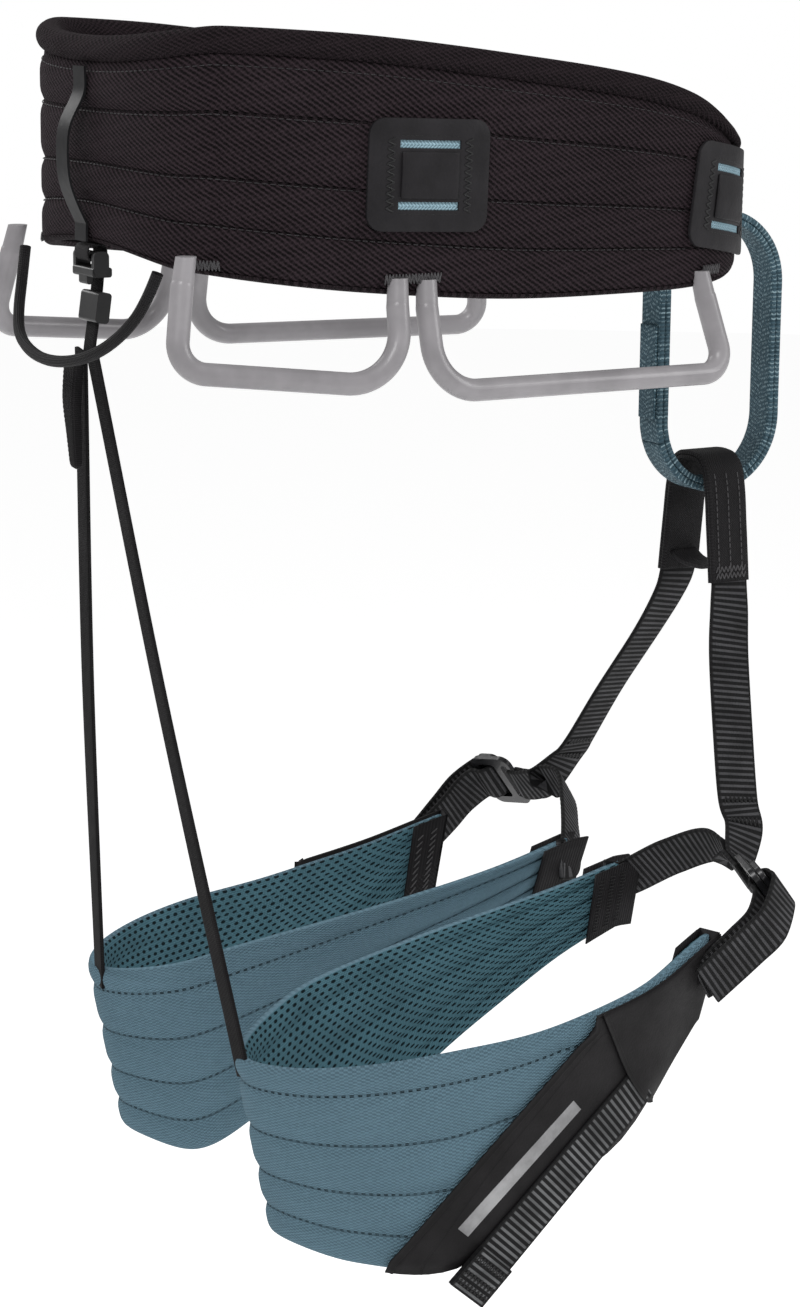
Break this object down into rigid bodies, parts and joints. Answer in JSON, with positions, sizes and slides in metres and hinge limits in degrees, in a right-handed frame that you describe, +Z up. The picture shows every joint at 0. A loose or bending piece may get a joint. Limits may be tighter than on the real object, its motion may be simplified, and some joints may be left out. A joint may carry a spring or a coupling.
{
  "type": "climbing harness",
  "caption": "Padded alpine climbing harness with adjustable leg loops, belay ring, moulded gear loops, slotted clipper patches and rear haul loop.",
  "frame": {"origin": "centre of the waist opening, at the height of the waist mount where the belt is held up", "axes": "+Z up as worn; -Y to the wearer's front, where the belay ring is; -X to the wearer's right"},
  "size_m": [0.2774, 0.3808, 0.5513],
  "materials": {
    "belt_fabric": "matt twill",
    "belt_mesh": "open mesh",
    "belt_foam": "closed-cell foam",
    "leg_foam": "closed-cell foam",
    "web_blue": "woven webbing",
    "web_black": "woven webbing",
    "web_ribbed": "ribbed webbing",
    "belay_web": "woven webbing with light flecks",
    "elastic": "knitted elastic",
    "thread": "dense stitching",
    "cord": "braided sheath",
    "patch_rubber": "rubberised, matt",
    "gear_plastic": "satin, slightly translucent",
    "black_plastic": "satin",
    "buckle_metal": "black anodised forging, semi-gloss",
    "leg_fabric": "matt twill",
    "leg_mesh": "perforated lining",
    "cover_fabric": "smooth coated fabric"
  },
  "bodies": {
    "waist_belt": {"belt_foam": "belt_foam", "belt_shell": "belt_fabric", "belt_lining": "belt_mesh", "belt_top_roll": "belt_fabric", "belt_load_web_upper": "web_blue", "belt_load_web_lower": "web_blue", "clip_patch_rear_right": "patch_rubber", "clip_patch_rear_left": "patch_rubber", "clip_patch_front_right": "patch_rubber", "clip_patch_front_left": "patch_rubber", "back_strip": "black_plastic", "riser_anchor": "web_black", "front_strap": "web_black", "waist_tie_in_loop": "web_black", "waist_adjust_strap": "web_black", "waist_buckle_frame": "buckle_metal", "tail_keeper": "elastic", "belt_bar_tacks": "thread", "haul_loop": "cord"},
    "waist_buckle_top": {"waist_buckle_plate": "buckle_metal"},
    "gear_rear_right": {"gear_loop_rear_right": "gear_plastic"},
    "gear_rear_left": {"gear_loop_rear_left": "gear_plastic"},
    "gear_front_right": {"gear_loop_front_right": "gear_plastic"},
    "gear_front_left": {"gear_loop_front_left": "gear_plastic"},
    "belay_ring": {"belay_loop": "belay_web", "belay_loop_tack": "thread"},
    "leg_loops": {"leg_tie_in_sleeve": "web_black", "leg_cross_strap": "web_black", "leg_strap_right": "web_ribbed", "leg_strap_left": "web_ribbed", "leg_front_band_right": "web_black", "leg_front_band_left": "web_black", "leg_foam_right": "leg_foam", "leg_foam_left": "leg_foam", "leg_shell_right": "leg_fabric", "leg_shell_left": "leg_fabric", "leg_lining_right": "leg_mesh", "leg_lining_left": "leg_mesh", "leg_cover_right": "cover_fabric", "leg_cover_left": "cover_fabric", "leg_inner_tab_right": "cover_fabric", "leg_inner_tab_left": "cover_fabric", "leg_adjust_strap_right": "web_black", "leg_adjust_strap_left": "web_black", "leg_strap_tail_right": "web_black", "leg_strap_tail_left": "web_black", "leg_buckle_frame_right": "buckle_metal", "leg_buckle_frame_left": "buckle_metal"},
    "leg_buckle_top_right": {"leg_buckle_plate_right": "buckle_metal"},
    "leg_buckle_top_left": {"leg_buckle_plate_left": "buckle_metal"},
    "risers": {"riser_hook": "black_plastic", "riser_top_strap": "elastic", "riser_tail": "elastic", "riser_strap_right": "elastic", "riser_strap_left": "elastic"},
    "slider": {"riser_slider": "black_plastic"}
  },
  "joints": [
    {"name": "belay_swing", "type": "hinge", "parent": "waist_belt", "child": "belay_ring", "pos_m": [0, -0.176, -0.0382], "axis": [1, 0, 0], "range_deg": [-20, 4]},
    {"name": "leg_swing", "type": "hinge", "parent": "belay_ring", "child": "leg_loops", "pos_m": [0, -0.176, -0.157], "axis": [1, 0, 0], "range_deg": [-4.5, 20.5]},
    {"name": "riser_swing", "type": "hinge", "parent": "leg_loops", "child": "risers", "pos_m": [0, 0.114, -0.3745], "axis": [1, 0, 0], "range_deg": [-7.4, 1.8]},
    {"name": "riser_slider_slide", "type": "slide", "parent": "risers", "child": "slider", "axis": [0, -0.1392, 0.9903], "range_m": [-0.008, 0.0025]},
    {"name": "gear_rear_right_flex", "type": "hinge", "parent": "waist_belt", "child": "gear_rear_right", "pos_m": [-0.085, 0.146, -0.04471], "axis": [0.2074, 0.9713, 0.1163], "range_deg": [-4, 60], "stiffness_Nm_per_rad": 0.05},
    {"name": "gear_rear_left_flex", "type": "hinge", "parent": "waist_belt", "child": "gear_rear_left", "pos_m": [0.085, 0.146, -0.04471], "axis": [0.2074, -0.9713, -0.1163], "range_deg": [-4, 60], "stiffness_Nm_per_rad": 0.05},
    {"name": "gear_front_right_flex", "type": "hinge", "parent": "waist_belt", "child": "gear_front_right", "pos_m": [-0.104, 0.043, -0.05644], "axis": [-0.0547, 0.9983, 0.021], "range_deg": [-4, 60], "stiffness_Nm_per_rad": 0.05},
    {"name": "gear_front_left_flex", "type": "hinge", "parent": "waist_belt", "child": "gear_front_left", "pos_m": [0.104, 0.043, -0.05644], "axis": [-0.0547, -0.9983, -0.021], "range_deg": [-4, 60], "stiffness_Nm_per_rad": 0.05},
    {"name": "leg_buckle_tilt_right", "type": "hinge", "parent": "leg_loops", "child": "leg_buckle_top_right", "pos_m": [-0.12119, -0.13231, -0.32682], "axis": [-0.0438, -0.5951, -0.8025], "range_deg": [0, 10]},
    {"name": "leg_buckle_tilt_left", "type": "hinge", "parent": "leg_loops", "child": "leg_buckle_top_left", "pos_m": [0.12119, -0.13231, -0.32682], "axis": [-0.0438, 0.5951, 0.8025], "range_deg": [0, 10]},
    {"name": "waist_buckle_tilt", "type": "hinge", "parent": "waist_belt", "child": "waist_buckle_top", "pos_m": [0.0553, -0.1566, -0.022], "axis": [0, 0, 1], "range_deg": [0, 10]}
  ],
  "couplings": [
    {"joint": "leg_swing", "follows": "belay_swing", "ratio": -1},
    {"joint": "riser_swing", "follows": "belay_swing", "ratio": 0.348}
  ]
}
